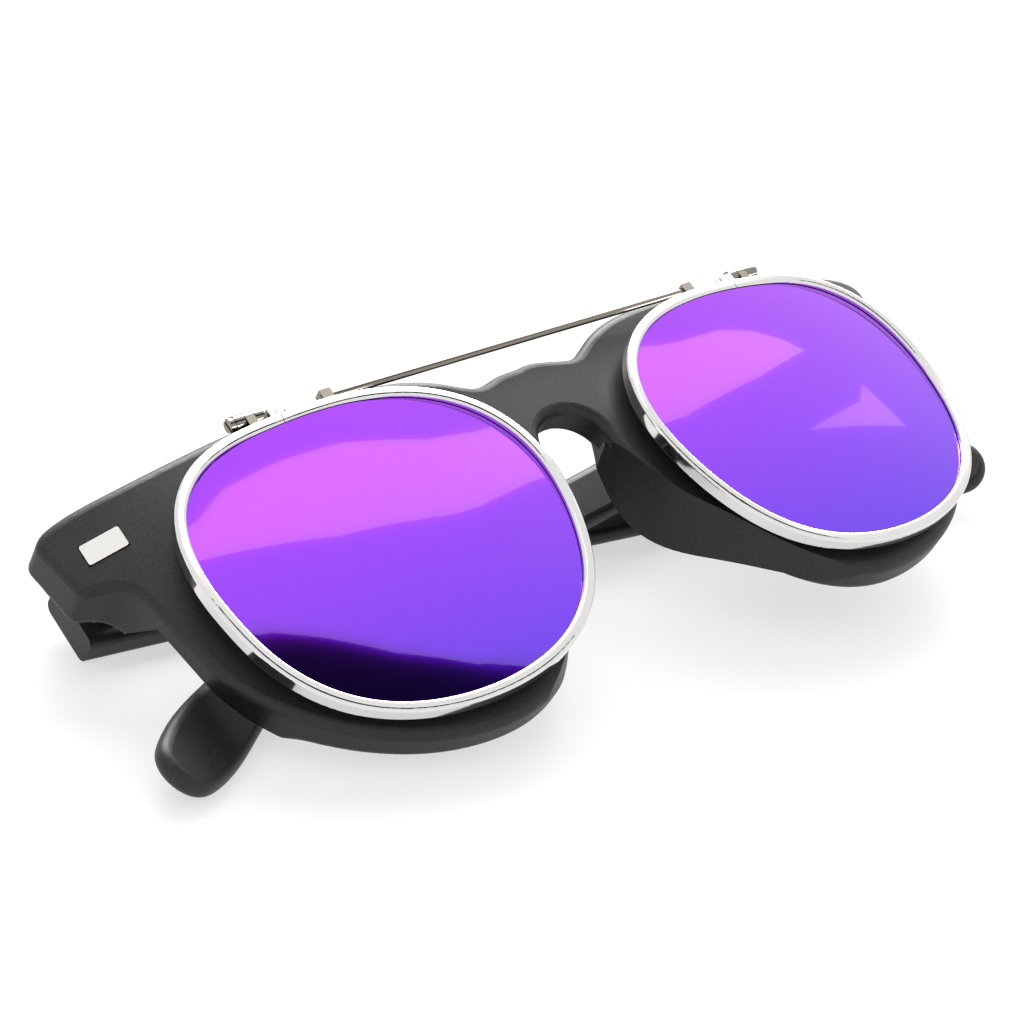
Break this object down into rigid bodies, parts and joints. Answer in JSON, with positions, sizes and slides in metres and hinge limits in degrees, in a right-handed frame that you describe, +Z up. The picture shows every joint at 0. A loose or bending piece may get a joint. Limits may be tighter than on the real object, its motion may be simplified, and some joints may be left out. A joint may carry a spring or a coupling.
{
  "type": "flip-up sunglasses",
  "caption": "Horn-shaped plastic spectacle front with folding temples and a chrome-rimmed mirror front that hinges up at the brow, shown folded flat.",
  "frame": {"origin": "bottom centre of the bounding box of the folded pair, on the table it lies on", "axes": "+Z up from the table, +X along the front to the wearer's left, +Y towards the brow"},
  "size_m": [0.1474, 0.0496, 0.0341],
  "materials": {
    "black_plastic": "fine matte",
    "clear_lens": "polished clear",
    "mirror_lens": "violet mirror coating",
    "chrome": "bright plated",
    "white_metal": "satin",
    "hinge_steel": "satin"
  },
  "bodies": {
    "front": {"front_frame": "black_plastic", "clear_lens_right": "clear_lens", "clear_lens_left": "clear_lens", "plaque_right": "white_metal", "plaque_left": "white_metal", "front_hinge_right": "hinge_steel", "front_hinge_left": "hinge_steel", "temple_screw_right": "hinge_steel", "temple_screw_left": "hinge_steel", "flip_base_right": "chrome", "flip_base_left": "chrome", "flip_screw_right": "chrome", "flip_screw_left": "chrome"},
    "flip_front": {"brow_bar": "chrome", "flip_rim_right": "chrome", "flip_rim_left": "chrome", "mirror_lens_right": "mirror_lens", "mirror_lens_left": "mirror_lens", "flip_leaf_right": "chrome", "flip_leaf_left": "chrome", "closing_block_outer_right": "chrome", "closing_block_outer_left": "chrome", "closing_block_inner_right": "chrome", "closing_block_inner_left": "chrome", "closing_screw_right": "chrome", "closing_screw_left": "chrome", "bar_saddle_right": "chrome", "bar_saddle_left": "chrome"},
    "temple_right": {"temple_right": "black_plastic", "temple_hinge_right": "hinge_steel"},
    "temple_left": {"temple_left": "black_plastic", "temple_hinge_left": "hinge_steel"}
  },
  "joints": [
    {"name": "flip_up", "type": "hinge", "parent": "front", "child": "flip_front", "pos_m": [-0.00245, 0.01717, 0.03016], "axis": [-0.9977, 0, -0.0677], "range_deg": [0, 95]},
    {"name": "temple_right_fold", "type": "hinge", "parent": "front", "child": "temple_right", "pos_m": [-0.0633, 0.01853, 0.00822], "axis": [-0.0294, 0.9007, 0.4334], "range_deg": [0, 88.4]},
    {"name": "temple_left_fold", "type": "hinge", "parent": "front", "child": "temple_left", "pos_m": [0.06081, 0.01853, 0.01663], "axis": [0.0294, -0.9007, -0.4334], "range_deg": [0, 93.2]}
  ]
}
